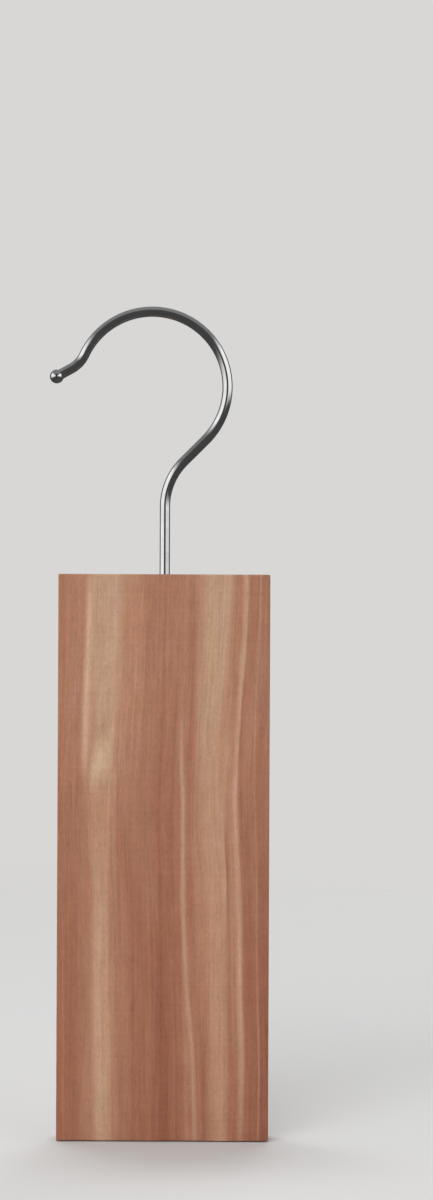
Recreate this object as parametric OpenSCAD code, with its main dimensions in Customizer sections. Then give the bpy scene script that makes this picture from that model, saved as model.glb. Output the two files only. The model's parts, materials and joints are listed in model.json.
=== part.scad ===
// Cedar hanger block: a flat board of red cedar that hangs from a closet rail on a wire hook.
// The hook is one bent wire. Its ringed lower end turns in a blind hole in the board's top edge.
// The origin is where the rail touches the hook, at the inside top of the loop. +Z is up along the
// wire's stem, the board's front face looks towards -Y, and the loop lies in the XZ plane.

/* [Block] */
// Width of the board, across the grain
block_w = 70; // [50:1:110]
// Thickness of the board
block_t = 10; // [8:0.5:19]
// Height of the board, along the grain
block_h = 187; // [120:1:260]
// Radius of the sanded edges
edge_r = 0.6; // [0.3:0.1:2]

/* [Hook] */
// Diameter of the wire
wire_d = 3.4; // [2.4:0.1:4]
// Inside diameter of the loop that goes over the rail
loop_d = 46.5; // [36:0.5:60]
// Angle that the loop sweeps over the rail
loop_sweep = 200; // [170:1:210]
// Straight length of the stem above the board
stem_len = 22.5; // [12:0.5:60]
// Angle that the neck leans away from the stem
neck_angle = 45; // [38:1:52]
// Radius of the bend from the stem into the neck, at the wire's centre
neck_bend_r = 21.2; // [14:0.2:30]
// Straight length of the neck between its bend and the loop
neck_len = 10; // [4:0.5:20]

/* [Hook tip] */
// Radius of the bend that turns the tip outwards, at the wire's centre
tip_bend_r = 10; // [6:0.5:15]
// Angle that the tip turns outwards
tip_turn = 36; // [20:1:60]
// Straight length from that bend to the centre of the ball
tip_len = 5.6; // [3:0.2:12]
// Diameter of the ball at the end of the wire
ball_d = 4.6; // [4.2:0.1:6.5]

/* [Shank in the board] */
// Depth that the wire goes into the board
shank_len = 28; // [18:1:50]
// Height of each ring, from its tapered foot to its shoulder
ring_len = 1.8; // [1:0.1:3]
// Plain wire between one ring and the next
ring_space = 0.7; // [0.4:0.1:2]
// Height by which each ring stands out from the wire
ring_rise = 0.3; // [0.15:0.05:0.5]
// Plain wire above the uppermost ring, inside the board
ring_cover = 6; // [3:0.5:8]
// Plain wire that is left below the lowest ring, at least
ring_end = 4; // [2:0.5:5]
// Chamfer at the wire's lower end
shank_chamfer = 0.6; // [0.3:0.1:0.8]

/* [Hole in the board] */
// Clearance all round between the wire and the wood
hole_gap = 0.05; // [0.02:0.01:0.09]
// Free depth below the wire's lower end
hole_room = 1; // [0.5:0.1:3]
// Full angle of the drill's point
drill_angle = 118; // [90:1:135]

/* [Hidden] */

// How far a cut runs past the surface that it opens
past = 1;
// Number of sides of round shapes
round_n = 96;
// How much thicker than the wire the ball is that joins two stretches of it into one solid
joint_rise = 0.01;

wire_r = wire_d / 2;
// Centre line of the loop
loop_r = loop_d / 2 + wire_r;
loop_z = -loop_d / 2;

// The neck leaves the loop at this angle below the horizontal, so that the two are tangent.
loop_start = -neck_angle;
loop_end = loop_start + loop_sweep;
neck_top_x = loop_r * cos(loop_start);
neck_top_z = loop_z + loop_r * sin(loop_start);
neck_foot_x = neck_top_x - neck_len * sin(neck_angle);
neck_foot_z = neck_top_z - neck_len * cos(neck_angle);
neck_bend_x = neck_foot_x + neck_bend_r * cos(neck_angle);
neck_bend_z = neck_foot_z - neck_bend_r * sin(neck_angle);

// The stem's axis is also the axis of the hole and of the board.
stem_x = neck_bend_x - neck_bend_r;
block_top = neck_bend_z - stem_len;

// Centre of the tip's bend, on the far side of the wire from the loop's centre
tip_bend_x = (loop_r + tip_bend_r) * cos(loop_end);
tip_bend_z = loop_z + (loop_r + tip_bend_r) * sin(loop_end);
tip_angle = loop_end - tip_turn;
tip_foot_x = tip_bend_x - tip_bend_r * cos(tip_angle);
tip_foot_z = tip_bend_z - tip_bend_r * sin(tip_angle);
ball_x = tip_foot_x - tip_len * sin(tip_angle);
ball_z = tip_foot_z + tip_len * cos(tip_angle);

// Where one stretch of the wire meets the next, as [x, z]
wire_joints = [
    [stem_x, neck_bend_z],
    [neck_foot_x, neck_foot_z],
    [neck_top_x, neck_top_z],
    [loop_r * cos(loop_end), loop_z + loop_r * sin(loop_end)],
    [tip_foot_x, tip_foot_z]
];

ring_pitch = ring_len + ring_space;
ring_count = floor((shank_len - ring_cover - ring_end + ring_space) / ring_pitch);
ring_r = wire_r + ring_rise;

// Outline of the rings from the top one down, as [radius, height] below the board's top edge.
// Each has a square shoulder above and tapers to the wire below. The gap widens it for the hole.
function ring_outline(gap) = [
    for (i = [0 : ring_count - 1])
        let (shoulder = -ring_cover - i * ring_pitch)
        each [
            [wire_r + gap, shoulder + gap],
            [ring_r + gap, shoulder + gap],
            [wire_r + gap, shoulder - ring_len]
        ]
];

// Half outline of the wire from the neck's bend down to its end in the board
function stem_outline() = concat(
    [[0, stem_len], [wire_r, stem_len]],
    ring_outline(0),
    [
        [wire_r, shank_chamfer - shank_len],
        [wire_r - shank_chamfer, -shank_len],
        [0, -shank_len]
    ]
);

// Half outline of the hole, with the cone that the drill leaves at its bottom
function hole_outline() =
    let (r = wire_r + hole_gap, floor_z = -shank_len - hole_room)
    concat(
        [[0, past], [r, past]],
        ring_outline(hole_gap),
        [[r, floor_z], [0, floor_z - r / tan(drill_angle / 2)]]
    );

// An arc of the wire in the XZ plane around a centre, from one angle over a sweep
module wire_arc(x, z, bend_r, from, sweep) {
    translate([x, 0, z])
        rotate([90, -from, 0])
            rotate_extrude(angle = sweep, $fn = round_n)
                translate([bend_r, 0])
                    circle(d = wire_d, $fn = round_n);
}

// A straight piece of the wire in the XZ plane, which leans from the vertical towards +X
module wire_rod(x, z, lean, length) {
    translate([x, 0, z])
        rotate([0, lean, 0])
            cylinder(d = wire_d, h = length, $fn = round_n);
}

// A rectangle with round corners, from squares and circles so that the corners stay true arcs
module round_rect(w, h) {
    square([w - 2 * edge_r, h], center = true);
    square([w, h - 2 * edge_r], center = true);
    for (sx = [-1, 1], sy = [-1, 1])
        translate([sx * (w / 2 - edge_r), sy * (h / 2 - edge_r)])
            circle(r = edge_r, $fn = round_n);
}

// The board with all its edges rounded: where its outlines along X, Y and Z meet
module board() {
    intersection() {
        linear_extrude(height = block_h, center = true)
            round_rect(block_w, block_t);
        rotate([90, 0, 0])
            linear_extrude(height = block_t, center = true)
                round_rect(block_w, block_h);
        rotate([0, 90, 0])
            linear_extrude(height = block_w, center = true)
                round_rect(block_h, block_t);
    }
}

// One wire: ringed shank and stem, neck, loop over the rail, and the tip with its ball
module wire_hook() {
    color("silver") {
        translate([stem_x, 0, block_top])
            rotate_extrude($fn = round_n)
                polygon(stem_outline());
        wire_arc(neck_bend_x, neck_bend_z, neck_bend_r, 180 - neck_angle, neck_angle);
        wire_rod(neck_foot_x, neck_foot_z, neck_angle, neck_len);
        wire_arc(0, loop_z, loop_r, loop_start, loop_sweep);
        wire_arc(tip_bend_x, tip_bend_z, tip_bend_r, 180 + tip_angle, tip_turn);
        wire_rod(tip_foot_x, tip_foot_z, -tip_angle, tip_len);
        for (p = wire_joints)
            translate([p[0], 0, p[1]])
                sphere(r = wire_r + joint_rise, $fn = round_n);
        translate([ball_x, 0, ball_z])
            sphere(d = ball_d, $fn = round_n);
    }
}

// The board, with the blind hole for the shank in the middle of its top edge
module cedar_block() {
    color("rosybrown")
        translate([stem_x, 0, block_top])
            difference() {
                translate([0, 0, -block_h / 2])
                    board();
                rotate_extrude($fn = round_n)
                    polygon(hole_outline());
            }
}

wire_hook();
cedar_block();
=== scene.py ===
# Cedar hanger block: a red cedar board that hangs from a chromed wire hook
import json
import math

import bmesh
import bpy
from mathutils import Matrix, Vector, noise


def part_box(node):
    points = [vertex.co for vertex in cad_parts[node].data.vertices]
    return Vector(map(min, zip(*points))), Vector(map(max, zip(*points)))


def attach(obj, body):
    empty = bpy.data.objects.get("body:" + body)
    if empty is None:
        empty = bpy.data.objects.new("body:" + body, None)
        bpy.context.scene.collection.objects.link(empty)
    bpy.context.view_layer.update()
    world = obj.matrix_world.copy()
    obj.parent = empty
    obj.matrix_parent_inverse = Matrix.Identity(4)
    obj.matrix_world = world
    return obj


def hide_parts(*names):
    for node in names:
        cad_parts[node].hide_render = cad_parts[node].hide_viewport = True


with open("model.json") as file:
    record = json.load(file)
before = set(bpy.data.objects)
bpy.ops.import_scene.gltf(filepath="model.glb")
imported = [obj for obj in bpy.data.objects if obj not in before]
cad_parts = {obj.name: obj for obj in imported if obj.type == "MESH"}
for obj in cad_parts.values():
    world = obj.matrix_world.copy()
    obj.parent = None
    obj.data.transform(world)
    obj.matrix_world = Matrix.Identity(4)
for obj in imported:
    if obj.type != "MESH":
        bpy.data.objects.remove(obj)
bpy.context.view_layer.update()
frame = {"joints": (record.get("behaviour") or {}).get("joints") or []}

mm = 0.001
tiny = 1e-6  # millimetres that are only rounding
boardLow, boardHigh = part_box("cedar_block")
swivel = Vector(frame["joints"][0]["pos_m"])  # where the wire enters the board's top edge
print("frame loaded, board", [round(v / mm, 2) for v in boardHigh - boardLow], "mm")


# camera

view = {
    "frameSize": (433, 1200),  # pixels of the photograph
    "boardLeft": 56.9,  # the board's edges in it at its middle, in pixels
    "boardRight": 269.4,
    "boardTop": 574.2,
    "boardBottom": 1141.2,
    "distance": 0.8,  # metres from the lens to the middle of the board's front face
    "pitch": 0.0,  # degrees that the lens looks up
    "roll": 0.25,  # degrees that the photograph was taken askew
    "sensor": 36.0,  # millimetres, along the frame's long side
    "clip": (0.01, 40.0),  # metres from the lens between which things are drawn
}


def makeCamera():
    wide, high = view["frameSize"]
    perPixel = (boardHigh.z - boardLow.z) / (view["boardBottom"] - view["boardTop"])
    turn = Matrix.Rotation(math.radians(90 + view["pitch"]), 3, "X")
    turn = turn @ Matrix.Rotation(math.radians(view["roll"]), 3, "Z")
    toRight, toTop, toLens = turn.col
    middle = (boardLow + boardHigh) / 2
    middle.y = boardLow.y
    fromRight = ((view["boardLeft"] + view["boardRight"]) / 2 - wide / 2) * perPixel
    fromTop = (high / 2 - (view["boardTop"] + view["boardBottom"]) / 2) * perPixel
    data = bpy.data.cameras.new("camera")
    data.sensor_width = view["sensor"]
    data.lens = view["sensor"] * view["distance"] / (high * perPixel)
    data.clip_start, data.clip_end = view["clip"]
    camera = bpy.data.objects.new("camera", data)
    camera.location = middle + toLens * view["distance"] - toRight * fromRight - toTop * fromTop
    camera.rotation_euler = turn.to_euler()
    bpy.context.scene.collection.objects.link(camera)
    bpy.context.scene.camera = camera


makeCamera()
print("camera placed")


# small tools

def linear(tone):
    # an 8-bit screen colour as the linear one that shaders take, by the sRGB curve
    out = []
    for level in tone:
        c = level / 255
        out.append(c / 12.92 if c <= 0.04045 else ((c + 0.055) / 1.055) ** 2.4)
    return (*out, 1.0)


class Nodes:
    # short ways to make the nodes of one tree: an input is a number, a colour or another node's output

    def __init__(self, tree):
        self.tree = tree
        tree.nodes.clear()

    def add(self, kind, inputs=None, output=0, **settings):
        node = self.tree.nodes.new(kind)
        for name, value in settings.items():
            setattr(node, name, value)
        for name, value in (inputs or {}).items():
            if isinstance(value, bpy.types.NodeSocket):
                self.tree.links.new(value, node.inputs[name])
            else:
                node.inputs[name].default_value = value
        return node.outputs[output] if node.outputs else node

    def calc(self, operation, *values):
        return self.add("ShaderNodeMath", dict(enumerate(values)), operation=operation)

    def blend(self, factor, a, b, kind="MIX"):
        inputs = {0: factor, 6: a, 7: b}  # the colour sockets of a mix node
        return self.add("ShaderNodeMix", inputs, 2, data_type="RGBA", blend_type=kind)

    def spread(self, value, low, high, toLow=0.0, toHigh=1.0, smooth=False):
        inputs = {"Value": value, "From Min": low, "From Max": high, "To Min": toLow, "To Max": toHigh}
        how = "SMOOTHSTEP" if smooth else "LINEAR"
        return self.add("ShaderNodeMapRange", inputs, interpolation_type=how)

    def mix(self, factor, a, b):
        return self.add("ShaderNodeMix", {0: factor, 2: a, 3: b})  # its sockets for numbers

    def split(self, vector):
        node = self.tree.nodes.new("ShaderNodeSeparateXYZ")
        self.tree.links.new(vector, node.inputs[0])
        return list(node.outputs)

    def vector(self, x, y, z):
        return self.add("ShaderNodeCombineXYZ", {"X": x, "Y": y, "Z": z})

    def speckle(self, place, scale=1.0, detail=2.0, roughness=0.5):
        inputs = {"Vector": place, "Scale": scale, "Detail": detail, "Roughness": roughness}
        return self.add("ShaderNodeTexNoise", inputs)

    def curve(self, value, places, levels, top):
        # a smooth curve through levels between 0 and top, at places from 0 to 1
        node = self.tree.nodes.new("ShaderNodeFloatCurve")
        points = node.mapping.curves[0].points
        while len(points) < len(places):
            points.new(0.5, 0.5)
        for point, place, level in zip(points, places, levels):
            point.location = (place, level / top)
        node.mapping.update()
        self.tree.links.new(value, node.inputs["Value"])
        return self.calc("MULTIPLY", node.outputs[0], top)


noiseSpan = (0.3, 0.7)  # levels between which nearly all of a noise lies


def newMaterial(name):
    material = bpy.data.materials.new(name)
    material.use_nodes = True
    return material, Nodes(material.node_tree)


def addPiece(mesh, name, body, node, material):
    piece = bpy.data.objects.new(name, mesh)
    bpy.context.scene.collection.objects.link(piece)
    mesh.materials.append(material)
    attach(piece, body)
    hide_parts(node)
    return piece


# wire hook

hook = {  # millimetres and degrees
    "wire": 3.4,
    "shank": 28.0,  # length inside the board
    "stem": 22.5,  # straight length above the board
    "neckAngle": 45.0,
    "neckBend": 21.2,
    "neckLength": 10.0,
    "loop": 46.5,  # inside diameter
    "loopSweep": 200.0,
    "tipBend": 10.0,
    "tipTurn": 36.0,
    "tipLength": 5.6,
    "ball": 4.6,
    "ballFillet": 0.7,  # hollow where the upset ball runs out into the wire
    "filletSteps": 6,
    "ballSteps": 24,
    "ringCover": 6.0,
    "ringLength": 1.8,
    "ringSpace": 0.7,
    "ringEnd": 4.0,
    "ringRise": 0.3,
    "chamfer": 0.6,
    "sides": 64,
    "step": 0.9,  # greatest distance from one ring of points to the next
    "lastGap": 0.1,  # least distance from the last of these rings to the ball's hollow
    "wobble": 0.006,  # how far the drawn surface strays from true
    "wobbleLength": 7.0,
    "sharpFrom": 35.0,  # least angle between faces that shows as an edge
}


def hookRoute():
    # stretches of the wire's middle from the shank's end: (length, turn to the left in radians)
    loopRadius = (hook["loop"] + hook["wire"]) / 2
    bends = (
        (hook["neckBend"], -hook["neckAngle"], hook["shank"] + hook["stem"]),
        (loopRadius, hook["loopSweep"], hook["neckLength"]),
        (hook["tipBend"], -hook["tipTurn"], 0.0),
    )
    route = []
    for radius, degrees, before in bends:
        if before:
            route.append((before, 0.0))
        turn = math.radians(degrees)
        route.append((abs(turn) * radius, turn))
    route.append((hook["tipLength"] + hook["ball"], 0.0))
    return route


def hookPlaces(route):
    # gives place(s): the point and the direction at a distance along the route, in the XZ plane
    stretches = []
    s, x, z, heading = 0.0, swivel.x / mm, swivel.z / mm - hook["shank"], math.radians(90)

    def along(stretch, distance):
        s0, length, turn, x0, z0, h0 = stretch
        bend = turn / length
        h = h0 + bend * distance
        if turn == 0:
            return x0 + distance * math.cos(h0), z0 + distance * math.sin(h0), h
        return x0 + (math.sin(h) - math.sin(h0)) / bend, z0 + (math.cos(h0) - math.cos(h)) / bend, h

    for length, turn in route:
        stretch = (s, length, turn, x, z, heading)
        stretches.append(stretch)
        x, z, heading = along(stretch, length)
        s += length

    def place(distance):
        stretch = [one for one in stretches if one[0] <= distance + tiny][-1]
        return along(stretch, distance - stretch[0])

    return place


def hookStations(route):
    # (distance, radius) of each ring of points: rings on the shank, plain wire, and the ball
    r = hook["wire"] / 2
    stations = [(0.0, 0.0), (0.0, r - hook["chamfer"]), (hook["chamfer"], r)]
    pitch = hook["ringLength"] + hook["ringSpace"]
    room = hook["shank"] - hook["ringCover"] - hook["ringEnd"] + hook["ringSpace"]
    for i in reversed(range(int(room / pitch))):
        shoulder = hook["shank"] - hook["ringCover"] - i * pitch
        stations += [(shoulder - hook["ringLength"], r), (shoulder, r + hook["ringRise"]), (shoulder, r)]

    # plain wire, with an even step in each stretch
    s = 0.0
    plainFrom = hook["shank"] - hook["ringCover"] + hook["step"]
    ballR, fillet = hook["ball"] / 2, hook["ballFillet"]
    end = sum(length for length, turn in route) - hook["ball"]
    hollow = math.sqrt((ballR + fillet) ** 2 - (r + fillet) ** 2)
    for length, turn in route:
        steps = math.ceil(length / hook["step"])
        for i in range(steps):
            distance = s + length * i / steps
            if plainFrom < distance < end - hollow - hook["lastGap"]:
                stations.append((distance, r))
        s += length

    # the hollow that leads out of the wire, then the ball itself
    touch = math.atan2(r + fillet, hollow)
    for i in range(hook["filletSteps"] + 1):
        a = touch + (math.pi / 2 - touch) * (1 - i / hook["filletSteps"])
        stations.append((end - hollow + fillet * math.cos(a), r + fillet - fillet * math.sin(a)))
    for i in range(1, hook["ballSteps"] + 1):
        a = math.pi - touch - (math.pi - touch) * i / hook["ballSteps"]
        stations.append((end + ballR * math.cos(a), ballR * math.sin(a)))
    return stations


def hookMesh():
    route = hookRoute()
    place = hookPlaces(route)
    mesh = bmesh.new()
    before = None
    sides = hook["sides"]
    for distance, radius in hookStations(route):
        x, z, heading = place(distance)
        middle = Vector((x, 0, z))
        out = Vector((math.sin(heading), 0, -math.cos(heading)))  # across the wire, in its plane
        ring = []
        if radius < tiny:
            ring = [mesh.verts.new(middle * mm)]
        else:
            for i in range(sides):
                a = 2 * math.pi * i / sides
                across = out * math.cos(a) + Vector((0, 1, 0)) * math.sin(a)
                point = middle + across * radius
                stray = noise.noise(point / hook["wobbleLength"]) - 1
                ring.append(mesh.verts.new((point + across * stray * hook["wobble"]) * mm))
        if before:
            for i in range(sides):
                j = (i + 1) % sides
                corners = [before[i % len(before)], before[j % len(before)]]
                corners += [ring[j % len(ring)], ring[i % len(ring)]]
                mesh.faces.new(list(dict.fromkeys(corners)))
        before = ring
    bmesh.ops.recalc_face_normals(mesh, faces=mesh.faces)
    data = bpy.data.meshes.new("wireHook")
    mesh.to_mesh(data)
    mesh.free()
    for face in data.polygons:
        face.use_smooth = True
    data.set_sharp_from_angle(angle=math.radians(hook["sharpFrom"]))
    return data


chrome = {
    "tones": ((0.66, 0.66, 0.67, 1), (0.58, 0.58, 0.59, 1)),  # linear colours of clear and hazy plating
    "haze": (350.0, 3.0),  # patches of haze in a metre, and their octaves
    "hazeShown": (0.35, 0.7),  # levels of its noise between which the tone changes
    "roughness": (0.05, 0.13),
    "roughFrom": (0.3, 0.75),
    "specks": 2600.0,  # in a metre, and their height in millimetres
    "speckHeight": 0.02,
    "speckStrength": 0.05,
}


def chromeMaterial():
    material, n = newMaterial("chromedWire")
    place = n.add("ShaderNodeTexCoord", output="Object")
    haze = n.speckle(place, *chrome["haze"])
    bump = n.add("ShaderNodeBump", {
        "Height": n.speckle(place, chrome["specks"]),
        "Strength": chrome["speckStrength"],
        "Distance": chrome["speckHeight"] * mm,
    })
    shader = n.add("ShaderNodeBsdfPrincipled", {
        "Base Color": n.blend(n.spread(haze, *chrome["hazeShown"]), *chrome["tones"]),
        "Metallic": 1.0,
        "Roughness": n.spread(haze, *chrome["roughFrom"], *chrome["roughness"]),
        "Normal": bump,
    })
    n.add("ShaderNodeOutputMaterial", {"Surface": shader})
    return material


addPiece(hookMesh(), "wireHook", "hook", "wire_hook", chromeMaterial())
print("hook made")


# cedar board

board = {  # millimetres
    "arris": 0.45,  # radius that the edges are eased to
    "arrisSpread": 0.15,  # how far that radius wanders along an edge
    "arrisWander": 0.09,  # how often it does so in a millimetre
    "arrisSteps": 4,
    "cellAcross": 0.5,  # size of the surface's cells across the grain, along it and through the board
    "cellAlong": 2.5,
    "cellThrough": 0.8,
    "hole": 3.5,
    "holeMouth": ((0, 0.2), (-0.12, 0.07), (-0.35, 0)),  # heights in it, and how much wider it is there
    "holeFray": 0.03,  # share by which the mouth's radius wanders
    "frayTurns": 2.2,
    "frayDepth": 0.2,
    "rimDepth": 0.04,  # how far the mouth's rim is pressed in
    "holePatch": 3.0,  # half width of the square of the top edge that turns into the round hole
    "patchSteps": 4,
    "holeRoom": 1.0,
    "drillAngle": 118.0,
    "relief": 0.03,  # depth to which the planer leaves the soft early wood below the late wood
    "reliefPitch": 1.7,
    "reliefThrough": 0.3,  # how often it changes in a millimetre through the board and along it
    "reliefAlong": 0.012,
    "ripple": 0.012,  # depth of the planer's ripple, and its length
    "rippleLength": 4.0,
    "sawing": 0.04,  # roughness of the sawn ends, and how unevenly it lies
    "sawUneven": 0.3,
    "sawMarks": ((1.3, 2.1, 7.0, 1.0), (4.1, 3.7, 2.0, 0.6)),  # marks in a millimetre of X and Y, seed, share
    "sharpFrom": 50.0,  # least angle between faces that shows as an edge
}


def gridCuts(low, high, inner, cell, through=()):
    # places of the grid lines along one side: close together at the edges, even between
    steps = board["arrisSteps"]
    edge = [inner * i / steps for i in range(steps)]
    fixed = sorted([low + inner, *through, high - inner])
    cuts = [low + e for e in edge]
    for a, b in zip(fixed, fixed[1:]):
        count = max(1, round((b - a) / cell))
        cuts += [a + (b - a) * i / count for i in range(count)]
    return cuts + [high - inner] + [high - e for e in reversed(edge)]


def easedPoint(p, low, high):
    # takes a point of the sharp block to the block with eased edges, with the way out of the wood
    wander = noise.noise(p * board["arrisWander"]) * board["arrisSpread"]
    r = board["arris"] + wander
    core = Vector((min(max(p[i], low[i] + r), high[i] - r) for i in range(3)))
    out = (p - core).normalized()
    return core + out * r, out


def surfaceDepth(p, out):
    # how far the worked surface lies below the true one, in millimetres
    point = Vector((p.x / board["reliefPitch"], p.y * board["reliefThrough"], p.z * board["reliefAlong"]))
    relief = board["relief"] * (0.5 + 0.5 * noise.noise(point))
    ripple = board["ripple"] * (0.5 + 0.5 * math.sin(2 * math.pi * p.z / board["rippleLength"]))
    saw = 0.0
    for inX, inY, seed, share in board["sawMarks"]:
        saw += share * noise.noise(Vector((p.x * inX, p.y * inY, seed)))
    sawn = board["sawing"] * (0.5 + board["sawUneven"] * saw)
    endwise = abs(out.z)
    return endwise * max(sawn, 0.0) + (1 - endwise) * (relief + ripple)


def boardMesh():
    low, high = boardLow / mm, boardHigh / mm
    inner = board["arris"] + board["arrisSpread"]
    axisX, axisY = swivel.x / mm, swivel.y / mm
    patch = board["holePatch"]
    cuts = (
        gridCuts(low.x, high.x, inner, board["cellAcross"], (axisX - patch, axisX + patch)),
        gridCuts(low.y, high.y, inner, board["cellThrough"], (axisY - patch, axisY + patch)),
        gridCuts(low.z, high.z, inner, board["cellAlong"]),
    )
    mesh = bmesh.new()
    made = {}

    def corner(x, y, z):
        key = (round(x, 4), round(y, 4), round(z, 4))
        if key not in made:
            eased, out = easedPoint(Vector((x, y, z)), low, high)
            made[key] = mesh.verts.new((eased - out * surfaceDepth(eased, out)) * mm)
        return made[key]

    def inPatch(x, y):
        return abs(x - axisX) < patch and abs(y - axisY) < patch

    for axis in range(3):
        u, v = [i for i in range(3) if i != axis]
        for level in (low[axis], high[axis]):
            for u0, u1 in zip(cuts[u], cuts[u][1:]):
                for v0, v1 in zip(cuts[v], cuts[v][1:]):
                    if axis == 2 and level == high.z and inPatch((u0 + u1) / 2, (v0 + v1) / 2):
                        continue
                    corners = []
                    for a, b in ((u0, v0), (u1, v0), (u1, v1), (u0, v1)):
                        p = [level] * 3
                        p[u], p[v] = a, b
                        corners.append(corner(*p))
                    mesh.faces.new(corners)

    addHole(mesh, corner, cuts, high.z)
    bmesh.ops.recalc_face_normals(mesh, faces=mesh.faces)
    data = bpy.data.meshes.new("cedarBlock")
    mesh.to_mesh(data)
    mesh.free()
    for face in data.polygons:
        face.use_smooth = True
    data.set_sharp_from_angle(angle=math.radians(board["sharpFrom"]))
    return data


def holeProfile():
    # (height below the top edge, radius) down the hole, which grips the rings of the shank
    r, rise = board["hole"] / 2, hook["ringRise"]
    gap = r - hook["wire"] / 2
    profile = [(height, r + wider) for height, wider in board["holeMouth"]]
    pitch = hook["ringLength"] + hook["ringSpace"]
    room = hook["shank"] - hook["ringCover"] - hook["ringEnd"] + hook["ringSpace"]
    for i in range(int(room / pitch)):
        shoulder = -hook["ringCover"] - i * pitch + gap
        profile += [(shoulder, r), (shoulder, r + rise), (shoulder - hook["ringLength"], r)]
    bottom = -hook["shank"] - board["holeRoom"]
    point = bottom - r / math.tan(math.radians(board["drillAngle"] / 2))
    return profile + [(bottom, r), (point, 0.0)]


def addHole(mesh, corner, cuts, top):
    # the top edge's grid turns from a square into the round mouth, and the wall goes down from there
    patch, steps = board["holePatch"], board["patchSteps"]
    axisX, axisY = swivel.x / mm, swivel.y / mm
    xs = [x for x in cuts[0] if abs(x - axisX) < patch + tiny]
    ys = [y for y in cuts[1] if abs(y - axisY) < patch + tiny]
    rim = [(x, ys[0]) for x in xs] + [(xs[-1], y) for y in ys[1:]]
    rim += [(x, ys[-1]) for x in reversed(xs[:-1])] + [(xs[0], y) for y in reversed(ys[1:-1])]
    ring = [corner(x, y, top) for x, y in rim]
    angles = [math.atan2(y - axisY, x - axisX) for x, y in rim]
    profile = holeProfile()
    mouth = profile[0][1]

    def onCircle(radius, a):
        return Vector((axisX + radius * math.cos(a), axisY + radius * math.sin(a)))

    def joinRings(upper, lower):
        for i in range(len(upper)):
            j = (i + 1) % len(upper)
            corners = [upper[i], upper[j], lower[j % len(lower)], lower[i % len(lower)]]
            mesh.faces.new(list(dict.fromkeys(corners)))

    for k in range(1, steps):
        flats = [Vector(place).lerp(onCircle(mouth, a), k / steps) for place, a in zip(rim, angles)]
        inner = [corner(flat.x, flat.y, top) for flat in flats]
        joinRings(ring, inner)
        ring = inner
    for depth, radius in profile:
        if radius == 0:
            inner = [mesh.verts.new(Vector((axisX, axisY, top + depth)) * mm)]
        else:
            inner = []
            sunk = board["rimDepth"] if depth == 0 else 0.0
            for a in angles:
                stray = noise.noise(Vector((math.cos(a), math.sin(a), depth)) * board["frayTurns"])
                frayed = 1 + board["holeFray"] * stray if depth > -board["frayDepth"] else 1
                inner.append(mesh.verts.new(Vector((*onCircle(radius * frayed, a), top + depth - sunk)) * mm))
        joinRings(ring, inner)
        ring = inner


# the colours of the wood, as they look on the screen
tones = {
    "ivory": (207, 170, 146),
    "butter": (206, 177, 148),
    "cream": (194, 158, 132),
    "pale": (188, 153, 128),
    "tan": (186, 148, 122),
    "straw": (181, 139, 113),
    "blush": (181, 134, 110),
    "pink": (176, 128, 105),
    "rose": (169, 121, 98),
    "brown": (163, 114, 92),
    "umber": (158, 106, 84),
    "amber": (172, 112, 82),
    "red": (152, 100, 79),
    "deep": (143, 90, 70),
}

wood = {
    "gain": (1.0, 0.97, 0.925),  # how light the wood is against the tones above, in red, green and blue
    "bandEdge": 2.2,  # millimetres over which a band runs out, to either side of its edge
    "bandFray": 1.2,  # how far the middling lines break up the edges of the bands, against that width
    "streakEdge": 1.15,  # the same two for the streaks, against their half width
    "streakFray": 1.6,
    "lean": 0.6,  # how far the growth rings lean to the left through the board's thickness
    "wander": 0.9,  # millimetres that the grain strays on its own
    "slowWander": 2.4,  # how much further it sways slowly
    "drift": 0.35,  # how unevenly the bands change along the grain, against the board's height
    "bowAtLeft": 0.5,  # share of the bow below that the grain has at the left edge
    "bowFullAt": 66.0,  # millimetres from there at which it has all of it
    "ringPitch": 1.7,  # from one line of late wood to the next, about
    "lateWander": 5.0,  # how many pitches such a line strays
    "lateShape": (0.55, 0.9, 1.0, 0.93),  # where in a pitch it rises, and where it falls to nothing
    "lateShown": (-0.1, 0.16),  # levels of a noise between which it comes and goes
    "lateDepth": 0.09,  # how dark it is on the broad faces, and how much darker on the narrow sides
    "lateSideDepth": 0.14,
    "slantDepth": 0.55,  # strength of the slanting lines on the narrow sides
    "turned": (0.6, 0.9),  # how far a surface faces a side or an end while it takes on its look
    "paleEdge": 0.07,  # how much paler the eased edges are
    "paleEdgeShown": (0.8, 0.97),
    "hue": 0.25,  # how much the streaks vary from red to yellow
    "lateHue": 0.02,
    "roughness": (0.52, 0.68),
    "roughFrom": (-0.25, 0.25),  # levels of the fine lines between which it changes
    "shine": 0.3,
    "relief": 0.08,  # height of the fibres in the bump, in millimetres
    "reliefStrength": 0.35,
    "reliefShares": {"fibre": 0.6, "fine": 0.4},
}

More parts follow.
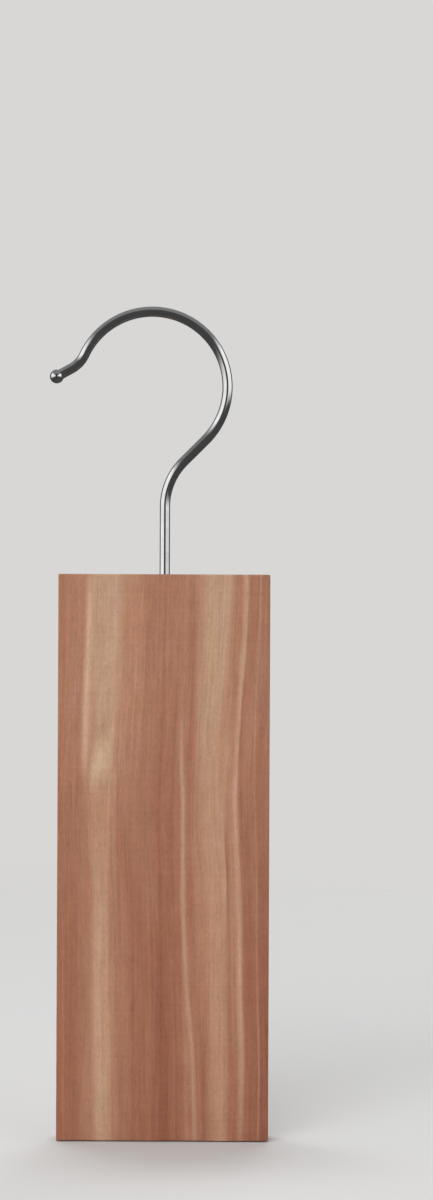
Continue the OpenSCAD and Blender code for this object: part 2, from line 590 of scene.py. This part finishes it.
# noises drawn out along the grain: features in a millimetre across and along it, octaves, seed, roughness,
# and how fast it changes through the board against across
grains = {
    "sway": (0.04, 0.014, 1.0, 0.0, 0.5, 0.4),
    "stray": (0.2, 0.04, 2.0, 31.0, 0.5, 0.1),
    "drift": (0.15, 0.012, 2.0, 5.0, 0.5, 0.4),
    "broad": (0.45, 0.012, 2.0, 11.0, 0.5, 0.05),
    "middle": (1.2, 0.025, 4.0, 17.0, 0.6, 0.15),
    "fine": (3.4, 0.11, 4.0, 23.0, 0.65, 0.4),
    "fibre": (9.0, 0.5, 3.0, 29.0, 0.6, 0.4),
    "flecks": (1.8, 0.7, 3.0, 71.0, 0.7, 0.4),
    "patches": (0.33, 0.13, 4.0, 83.0, 0.6, 0.4),
    # painted shade: lines across the grain, lighter and darker as light falls on the planer's ripple
    "planerRippleShade": (0.02, 0.9, 3.0, 37.0, 0.7, 20.0),
    "late": (0.3, 0.018, 2.0, 41.0, 0.5, 0.1),
    "slant": (1.1, 0.02, 4.0, 61.0, 0.65, 0.4),
    "hue": (0.35, 0.04, 3.0, 53.0, 0.6, 0.4),
    "tint": (0.3, 0.03, 3.0, 97.0, 0.6, 0.4),
}

# how much each of them darkens and lightens the wood
shading = {
    "broad": 0.16,
    "middle": 0.54,
    "fine": 0.42,
    "fibre": 0.56,
    "flecks": 0.42,
    "patches": 0.34,
    # painted shade of the planer's ripple
    "planerRippleShade": 0.18,
}

# for red, green and blue: how much they follow that shading, the hue and the tint
channels = ((0.8, 0.4, 0.0), (1.05, -0.5, -0.08), (1.3, -1.0, 0.18))

endGrain = {
    "pores": (9.0, 7.0),  # in a millimetre across the growth rings and through the board
    "poreNoise": (2.0, 0.6),  # octaves and roughness of their noise, and of that of the saw's marks
    "sawNoise": (3.0, 0.6),
    "light": (0.58, 0.76),  # how light the pores and the wood between them are, against the faces
    "ringWander": 3.0,  # how many pitches a growth ring strays
    "ringShape": (0.35, 0.92, 1.0, 0.94),
    "ringDepth": 0.17,
    "sawMarks": (0.35, 3.2),  # in a millimetre along the board's width and its thickness
    "sawDepth": 0.05,
    "sawRelief": 0.6,
}

# shares of the board's height, from its top, at which the grain's course is given
heights = (0, 0.15, 0.3, 0.42, 0.55, 0.7, 0.85, 1)
bow = (4.0, 3.0, 1.0, 0, 1.2, 2.1, 3.0, 3.5)  # how far the grain lies to the right there, in millimetres
bowTop = 5.0  # the limit of a curve through these, and of one through the places of a streak
pathTop = 80.0

# plain heartwood from the top down: tone, and the heights between which it takes over from the one above
heartwood = (
    ("rose", 0, 0),
    ("brown", 0.27, 0.39),
    ("umber", 0.48, 0.68),
)

# wide bands of sapwood and darker heartwood that follow the bow: tone, millimetres from the left edge,
# half width, and strength at the heights above
bands = (
    ("pink", 5.5, 3.2, (0.9, 0.6, 0.4, 0.1, 0, 0, 0, 0)),
    ("blush", 21.4, 4.2, (1, 1, 0.8, 0.3, 0, 0, 0, 0)),
    ("straw", 19.8, 3.2, (1, 0.2, 0, 0, 0, 0, 0, 0)),
    ("pale", 13.2, 5.3, (1, 1, 0.7, 0.1, 0, 0, 0, 0)),
    ("straw", 14.6, 4.2, (0, 0, 0.2, 0.7, 0.6, 0.2, 0, 0)),
    ("red", 1.5, 4.6, (0, 0, 0.1, 0.3, 0.3, 0.5, 0.6, 0.6)),
    ("rose", 9.6, 3.6, (0, 0, 0, 0.3, 0.5, 0.7, 0.9, 0.9)),
    ("rose", 19.2, 3.2, (0, 0, 0, 0, 0.3, 0.7, 0.7, 0.6)),
    ("tan", 13.7, 3.1, (0, 0, 0, 0.1, 0.4, 0.8, 1, 0.9)),
    ("pink", 41, 2.4, (0.9, 0.5, 0, 0, 0, 0, 0, 0)),
    ("blush", 45.4, 3, (1, 0.7, 0.5, 0.4, 0.6, 0.6, 0.3, 0.2)),
    ("pale", 49.8, 4.4, (1, 1, 0.8, 0.2, 0, 0, 0, 0)),
    ("pink", 56.2, 2.4, (0.7, 0.7, 0.8, 0.7, 0.6, 0.4, 0.3, 0)),
    ("tan", 52.2, 4.2, (0, 0, 0.2, 0.8, 0.8, 0.3, 0, 0)),
    ("straw", 51, 2.7, (0, 0, 0, 0.1, 0.3, 0.9, 1, 1)),
    ("umber", 36, 5.4, (0.1, 0.2, 0.3, 0.5, 0.5, 0.1, 0, 0)),
    ("deep", 32.7, 2, (0, 0, 0, 0.1, 0.3, 0.6, 0.8, 0.9)),
    ("rose", 41, 1.3, (0.3, 0.3, 0.3, 0.5, 0.6, 0.8, 0.9, 0.9)),
    ("red", 64, 4.6, (0.1, 0.1, 0.1, 0.2, 0.3, 0.6, 0.9, 1)),
    ("deep", 66.8, 2.4, (0.1, 0.1, 0.1, 0.1, 0.3, 0.5, 0.8, 1)),
)

# streaks that stand out: tone, half width, millimetres from the left edge at the heights above, and strength
streaks = (
    ("cream", 1.5, (62, 61.4, 59.5, 58.6, 59.3, 60.3, 60.8, 61.2), (0.7, 0.8, 0.7, 0.8, 0.7, 0.8, 0.6, 0.35)),
    ("umber", 0.7, (63.4, 62.4, 60.6, 59.8, 61.1, 62.2, 63, 63.4), (0.4, 0.5, 0.7, 0.4, 0.5, 0.7, 0.9, 0.9)),
    ("straw", 0.5, (67, 66, 65, 64.8, 65.5, 66, 66.6, 67), (0.6, 0.6, 0.6, 0.4, 0.6, 0.5, 0.6, 0.4)),
    ("pink", 0.8, (41, 41, 41, 41, 41, 41.5, 42.6, 43.2), (0, 0, 0, 0, 0, 0.2, 0.6, 0.7)),
    ("cream", 1.2, (41.2, 41.3, 41, 41.4, 41.2, 42.3, 44.8, 45.9), (0, 0, 0.5, 0.7, 0.65, 0.5, 0.5, 0.5)),
    ("umber", 1.6, (44.8, 45.2, 44.4, 43.6, 43.8, 45.2, 48.2, 48.8), (0, 0.5, 0.6, 0.5, 0.6, 0.3, 0.8, 0.9)),
    ("umber", 0.7, (36.4, 35.5, 34.1, 33.3, 33.5, 34.3, 35, 36), (0.2, 0.5, 0.6, 0.6, 0.3, 0.2, 0.1, 0)),
    ("deep", 0.6, (36.4, 35.5, 34.1, 33.3, 33.5, 34.3, 35, 35.6), (0, 0, 0.1, 0.2, 0.5, 0.7, 0.8, 0.7)),
    ("deep", 0.6, (40.3, 39.7, 38.3, 37.4, 37.8, 38.8, 39.5, 40.2), (0, 0.1, 0.3, 0.4, 0.4, 0.3, 0.3, 0.4)),
    ("red", 0.6, (26.5, 25.9, 25.2, 24.4, 24.1, 25, 25.3, 25.6), (0.1, 0.1, 0.1, 0.1, 0.5, 0.7, 0.7, 0.7)),
    ("umber", 0.5, (20.8, 20.4, 19.8, 19.8, 20.3, 20.8, 21, 21.2), (0, 0, 0.3, 0.6, 0.7, 0.4, 0.2, 0.2)),
    ("umber", 0.8, (18, 18, 18, 18, 17.9, 18, 18.6, 19), (0, 0, 0, 0, 0.6, 0.2, 0.2, 0.3)),
    ("ivory", 1.5, (10.4, 9.9, 9.2, 9, 9, 9, 9, 9), (0, 0.9, 0.7, 0, 0, 0, 0, 0)),
    ("blush", 1.7, (11.6, 11.6, 11.6, 11.4, 11.4, 11.4, 11.4, 11.4), (0, 0.2, 0.4, 0.3, 0, 0, 0, 0)),
    ("cream", 0.7, (19.3, 18.8, 18, 17, 16.2, 16.6, 16.8, 17), (0.7, 0.6, 0.3, 0.1, 0.4, 0.4, 0.2, 0.1)),
    ("cream", 2.6, (12.5, 12.5, 13.2, 14, 13.6, 13.8, 14.4, 14.8), (0.1, 0.1, 0, 0.25, 0.3, 0.6, 0.4, 0.3)),
    ("cream", 0.7, (51, 51, 51, 51, 50.7, 51, 51.3, 51.5), (0, 0, 0, 0, 0.3, 0.5, 0.2, 0)),
    ("umber", 1.1, (57, 57, 56, 55.6, 56, 56.8, 57.5, 58.2), (0, 0, 0, 0.3, 1, 0.5, 0.5, 0.6)),
    ("amber", 0.8, (2, 2, 2, 2, 2, 2.1, 2.2, 2.4), (0.3, 0.4, 0.3, 0.2, 0.3, 0.6, 0.7, 0.6)),
)

spot = {  # a pale spot, millimetres
    "tone": "butter",
    "left": 14.1,  # its middle from the left edge and from the top
    "below": 62.3,
    "half": 3.2,  # half its width and its height
    "reach": 9.0,
    "lean": 0.15,  # how far it leans to the left for each millimetre down
    "fray": 2.4,
    "edge": (0.2, 1.3),  # where it starts to fade and where it ends, against its half size
    "strength": 0.72,
}


def cedarMaterial():
    material, n = newMaterial("redCedar")
    place = n.split(n.add("ShaderNodeTexCoord", output="Object"))
    facing = [n.calc("ABSOLUTE", part) for part in n.split(n.add("ShaderNodeTexCoord", output="Normal"))]

    # millimetres from the board's left edge, its front face and its top
    across = n.calc("MULTIPLY", n.calc("SUBTRACT", place[0], boardLow.x), 1 / mm)
    inward = n.calc("MULTIPLY", n.calc("SUBTRACT", place[1], boardLow.y), 1 / mm)
    down = n.calc("MULTIPLY", n.calc("SUBTRACT", boardHigh.z, place[2]), 1 / mm)
    share = n.calc("DIVIDE", down, (boardHigh.z - boardLow.z) / mm)

    def grainNoise(name, sideways):
        # one of the noises drawn out along the grain, around 0
        acrossScale, alongScale, octaves, seed, roughness, through = grains[name]
        point = n.vector(
            n.calc("MULTIPLY_ADD", sideways, acrossScale, seed),
            n.calc("MULTIPLY", inward, acrossScale * through),
            n.calc("MULTIPLY", down, alongScale),
        )
        return n.calc("SUBTRACT", n.speckle(point, 1.0, octaves, roughness), 0.5)

    def tooth(sideways, wander, shape):
        # a line in each pitch of the growth rings, which rises slowly and ends abruptly
        rise, full, end, fall = shape
        phase = n.calc("DIVIDE", sideways, wood["ringPitch"])
        phase = n.calc("FRACT", n.calc("ADD", phase, n.calc("MULTIPLY", noises["broad"], wander)))
        return n.calc("MULTIPLY", n.spread(phase, rise, full, smooth=True), n.spread(phase, end, fall))

    # where a point lies across the growth rings, which lean, stray and bow
    stray = n.calc("MULTIPLY", grainNoise("sway", across), wood["slowWander"])
    stray = n.calc("ADD", stray, grainNoise("stray", across))
    line = n.calc("ADD", across, n.calc("MULTIPLY", inward, wood["lean"]))
    line = n.calc("ADD", line, n.calc("MULTIPLY", stray, wood["wander"]))
    bowShare = n.calc("MULTIPLY_ADD", line, (1 - wood["bowAtLeft"]) / wood["bowFullAt"], wood["bowAtLeft"])
    ring = n.calc("SUBTRACT", line, n.calc("MULTIPLY", n.curve(share, heights, bow, bowTop), bowShare))

    # fine lines, which run with the growth rings, except for the painted shade of the planer's ripple, which
    # runs across them
    noises = {name: grainNoise(name, across if name == "planerRippleShade" else ring) for name in shading}

    # heartwood, then the bands, whose edges break up into the fine lines, then the streaks and the spot
    drift = n.calc("ADD", share, n.calc("MULTIPLY", grainNoise("drift", ring), wood["drift"]))
    colour = linear(tones[heartwood[0][0]])
    for tone, start, end in heartwood[1:]:
        colour = n.blend(n.spread(drift, start, end, smooth=True), colour, linear(tones[tone]))
    edge = wood["bandEdge"]
    for tone, middle, half, strength in bands:
        offset = n.calc("ABSOLUTE", n.calc("SUBTRACT", ring, middle))
        offset = n.calc("ADD", offset, n.calc("MULTIPLY", noises["middle"], edge * wood["bandFray"]))
        mask = n.spread(offset, half - edge, half + edge, 1.0, 0.0, smooth=True)
        mask = n.calc("MULTIPLY", mask, n.curve(drift, heights, strength, 1.0))
        colour = n.blend(mask, colour, linear(tones[tone]))
    for tone, half, path, strength in streaks:
        offset = n.calc("ABSOLUTE", n.calc("SUBTRACT", line, n.curve(share, heights, path, pathTop)))
        offset = n.calc("ADD", offset, n.calc("MULTIPLY", noises["middle"], half * wood["streakFray"]))
        mask = n.spread(offset, 0.0, half * wood["streakEdge"], 1.0, 0.0, smooth=True)
        mask = n.calc("MULTIPLY", mask, n.curve(share, heights, strength, 1.0))
        colour = n.blend(mask, colour, linear(tones[tone]))
    above = n.calc("SUBTRACT", down, spot["below"])
    aside = n.calc("MULTIPLY_ADD", above, spot["lean"], n.calc("SUBTRACT", line, spot["left"]))
    aside = n.calc("DIVIDE", aside, spot["half"])
    above = n.calc("DIVIDE", above, spot["reach"])
    offset = n.calc("SQRT", n.calc("ADD", n.calc("MULTIPLY", aside, aside), n.calc("MULTIPLY", above, above)))
    offset = n.calc("MULTIPLY_ADD", noises["middle"], spot["fray"], offset)
    mask = n.spread(offset, *spot["edge"], spot["strength"], 0.0, smooth=True)
    colour = n.blend(mask, colour, linear(tones[spot["tone"]]))

    # the fine lines darken and lighten all of it, and the planer's ripple adds its painted shade
    light = 0.0
    for name, gain in shading.items():
        light = n.calc("ADD", light, n.calc("MULTIPLY", noises[name], gain))

    # thin dark lines of late wood, which come and go
    late = tooth(ring, wood["lateWander"], wood["lateShape"])
    late = n.calc("MULTIPLY", late, n.spread(grainNoise("late", ring), *wood["lateShown"]))

    # the narrow sides cut the growth rings at a slant, so that their lines are wider and darker there
    sidewise = n.spread(facing[0], *wood["turned"], smooth=True)
    depth = n.calc("MULTIPLY_ADD", sidewise, wood["lateSideDepth"], wood["lateDepth"])
    light = n.calc("SUBTRACT", light, n.calc("MULTIPLY", late, depth))
    slant = n.calc("MULTIPLY", grainNoise("slant", inward), n.calc("MULTIPLY", sidewise, wood["slantDepth"]))
    light = n.calc("ADD", light, slant)

    # end grain drinks the light, and shows its growth rings, its pores and the marks of the saw
    endwise = n.spread(facing[2], *wood["turned"], smooth=True)
    scaleX, scaleY = endGrain["pores"]
    pores = n.vector(n.calc("MULTIPLY", ring, scaleX), n.calc("MULTIPLY", inward, scaleY), 0.0)
    pores = n.speckle(pores, 1.0, *endGrain["poreNoise"])
    scaleX, scaleY = endGrain["sawMarks"]
    sawn = n.vector(n.calc("MULTIPLY", across, scaleX), n.calc("MULTIPLY", inward, scaleY), down)
    sawn = n.speckle(sawn, 1.0, *endGrain["sawNoise"])
    growth = tooth(ring, endGrain["ringWander"], endGrain["ringShape"])
    ends = n.spread(pores, *noiseSpan, *endGrain["light"])
    ends = n.calc("ADD", ends, n.calc("MULTIPLY", growth, -endGrain["ringDepth"]))
    ends = n.calc("ADD", ends, n.spread(sawn, *noiseSpan, -endGrain["sawDepth"], endGrain["sawDepth"]))
    ends = n.mix(endwise, 1.0, ends)

    # the eased edges are a little paler
    flat = n.calc("MAXIMUM", n.calc("MAXIMUM", facing[0], facing[1]), facing[2])
    paleEdge = n.spread(flat, *wood["paleEdgeShown"], 1.0, 0.0, smooth=True)
    ends = n.calc("MULTIPLY", ends, n.calc("MULTIPLY_ADD", paleEdge, wood["paleEdge"], 1.0))

    # some streaks are a little redder or yellower than their band, and a darker line is also redder
    hue = n.calc("MULTIPLY", grainNoise("hue", ring), wood["hue"])
    hue = n.calc("ADD", hue, n.calc("MULTIPLY", late, wood["lateHue"]))
    tint = grainNoise("tint", ring)
    levels = []
    for lightShare, hueShare, tintShare in channels:
        level = n.calc("MULTIPLY_ADD", light, lightShare, 1.0)
        cast = n.calc("MULTIPLY_ADD", tint, tintShare, n.calc("MULTIPLY_ADD", hue, hueShare, 1.0))
        levels.append(n.calc("MULTIPLY", n.calc("MULTIPLY", level, cast), ends))
    shade = n.add("ShaderNodeCombineColor", dict(enumerate(levels)))
    colour = n.blend(1.0, n.blend(1.0, colour, shade, "MULTIPLY"), (*wood["gain"], 1), "MULTIPLY")

    # the fibres stand up on the faces, the saw's marks and the pores on the ends
    height = [n.calc("MULTIPLY", noises[name], part) for name, part in wood["reliefShares"].items()]
    height = n.calc("ADD", *height)
    height = n.mix(endwise, height, n.calc("MULTIPLY_ADD", sawn, endGrain["sawRelief"], pores))
    bump = n.add("ShaderNodeBump", {
        "Height": height,
        "Strength": wood["reliefStrength"],
        "Distance": wood["relief"] * mm,
    })
    shader = n.add("ShaderNodeBsdfPrincipled", {
        "Base Color": colour,
        "Roughness": n.spread(noises["fine"], *wood["roughFrom"], *wood["roughness"]),
        "Specular IOR Level": wood["shine"],
        "Normal": bump,
    })
    n.add("ShaderNodeOutputMaterial", {"Surface": shader})
    return material


addPiece(boardMesh(), "cedarBlock", "block", "cedar_block", cedarMaterial())
print("board made")


# floor, world and lamps

studio = {
    "backdrop": (216, 215, 213),  # screen colour of the empty background
    "room": 0.075,  # brightness of the dark room, of the white screens at both sides and of the ceiling
    "screens": 1.25,
    "ceiling": 0.22,
    "roomTone": (1.0, 0.995, 0.985, 1),
    "leftFoot": (-25.0, 5.0),  # degrees above the horizon over which the screens begin and end
    "rightFoot": (-10.0, 7.0),
    "head": (31.0, 47.0),
    "nearSide": (15.0, 27.0),  # degrees away from the lens's side of the room, likewise
    "farSide": (96.0, 116.0),
    "ceilingRise": (0.25, 0.8),  # height of a direction, from 0 to 1, over which the ceiling begins
    "ceilingSide": (24.0, 60.0),
    "floorTone": 0.68,
    "floorUneven": 0.006,
    "floorRoughness": 0.9,
    "floorShine": 0.1,
    "floorGrain": (900.0, 3.0),  # specks in a metre, and their octaves
    "floorRadius": 9.0,
    "floorSides": 96,
    "floorFade": (0.2, 1.0),  # metres from the board over which the floor runs out into the background
    "floorGap": 0.3,  # millimetres below the board
}

# name, place, point that it shines at and size in metres, and watts
lamps = (
    ("front", (-0.5, -1.3, 0.7), (0, 0, -0.15), (1.2, 0.8), 14.2),
    ("overhead", (-0.1, 0.3, 1.3), (0, 0, -0.25), (0.5, 0.3), 8.5),
    ("rear", (0.7, 1.5, 0.5), (0, 0, -0.15), (1.2, 0.8), 7.0),
)


def makeFloor():
    mesh = bmesh.new()
    bmesh.ops.create_circle(mesh, cap_ends=True, segments=studio["floorSides"], radius=studio["floorRadius"])
    data = bpy.data.meshes.new("floor")
    mesh.to_mesh(data)
    mesh.free()
    floor = bpy.data.objects.new("floor", data)
    floor.location.z = boardLow.z - studio["floorGap"] * mm
    floor.visible_glossy = False
    bpy.context.scene.collection.objects.link(floor)
    material, n = newMaterial("paleFloor")
    place = n.add("ShaderNodeTexCoord", output="Object")
    far = n.add("ShaderNodeVectorMath", {0: place}, "Value", operation="LENGTH")
    grain = n.speckle(place, *studio["floorGrain"])
    darkest, lightest = (studio["floorTone"] * (1 + side * studio["floorUneven"]) for side in (-1, 1))
    tone = n.spread(grain, *noiseSpan, darkest, lightest)
    shader = n.add("ShaderNodeBsdfPrincipled", {
        "Base Color": n.add("ShaderNodeCombineColor", {0: tone, 1: tone, 2: tone}),
        "Roughness": studio["floorRoughness"],
        "Specular IOR Level": studio["floorShine"],
    })
    clear = n.add("ShaderNodeBsdfTransparent")
    fade = n.spread(far, *studio["floorFade"], smooth=True)
    mixed = n.add("ShaderNodeMixShader", {0: fade, 1: shader, 2: clear})
    n.add("ShaderNodeOutputMaterial", {"Surface": mixed})
    data.materials.append(material)


def makeWorld():
    # a studio as polished metal sees it: white screens at both sides, the dark room behind the lens
    world = bpy.data.worlds.new("studio")
    bpy.context.scene.world = world
    world.use_nodes = True
    n = Nodes(world.node_tree)
    x, y, z = n.split(n.add("ShaderNodeTexCoord", output="Generated"))

    def fadeIn(value, span):
        return n.spread(value, *span, smooth=True)

    def fadeOut(value, span):
        return n.spread(value, *span, 1.0, 0.0, smooth=True)

    # degrees from the lens's side of the room, and above the horizon
    fromLens = n.calc("MULTIPLY", n.calc("ARCCOSINE", n.calc("MULTIPLY", y, -1.0)), 180 / math.pi)
    tilt = n.calc("MULTIPLY", n.calc("ARCTAN2", z, n.calc("ABSOLUTE", x)), 180 / math.pi)
    onRight = n.calc("GREATER_THAN", x, 0.0)
    foot = n.mix(onRight, fadeIn(tilt, studio["leftFoot"]), fadeIn(tilt, studio["rightFoot"]))
    beside = n.calc("MULTIPLY", foot, fadeOut(tilt, studio["head"]))
    around = n.calc("MULTIPLY", fadeIn(fromLens, studio["nearSide"]), fadeOut(fromLens, studio["farSide"]))
    screens = n.calc("MULTIPLY", beside, around)
    above = n.calc("MULTIPLY", fadeIn(z, studio["ceilingRise"]), fadeIn(fromLens, studio["ceilingSide"]))
    level = n.calc("ADD", n.calc("MULTIPLY", screens, studio["screens"]), studio["room"])
    level = n.calc("ADD", level, n.calc("MULTIPLY", above, studio["ceiling"]))
    room = n.add("ShaderNodeBackground", {"Color": studio["roomTone"], "Strength": level})
    plain = n.add("ShaderNodeBackground", {"Color": linear(studio["backdrop"]), "Strength": 1.0})
    seen = n.add("ShaderNodeLightPath", output="Is Camera Ray")
    mixed = n.add("ShaderNodeMixShader", {0: seen, 1: room, 2: plain})
    n.add("ShaderNodeOutputWorld", {"Surface": mixed})


def addLamp(name, place, aim, size, watts):
    data = bpy.data.lights.new(name, "AREA")
    data.shape = "RECTANGLE"
    data.size, data.size_y = size
    data.energy = watts
    lamp = bpy.data.objects.new(name, data)
    lamp.location = place
    lamp.visible_glossy = False  # the polished wire mirrors only the screens
    lamp.rotation_euler = (Vector(aim) - Vector(place)).to_track_quat("-Z", "Y").to_euler()
    bpy.context.scene.collection.objects.link(lamp)


makeFloor()
makeWorld()
for lamp in lamps:
    addLamp(*lamp)
bpy.context.scene.view_settings.view_transform = "Standard"
print("floor, world and lamps made")
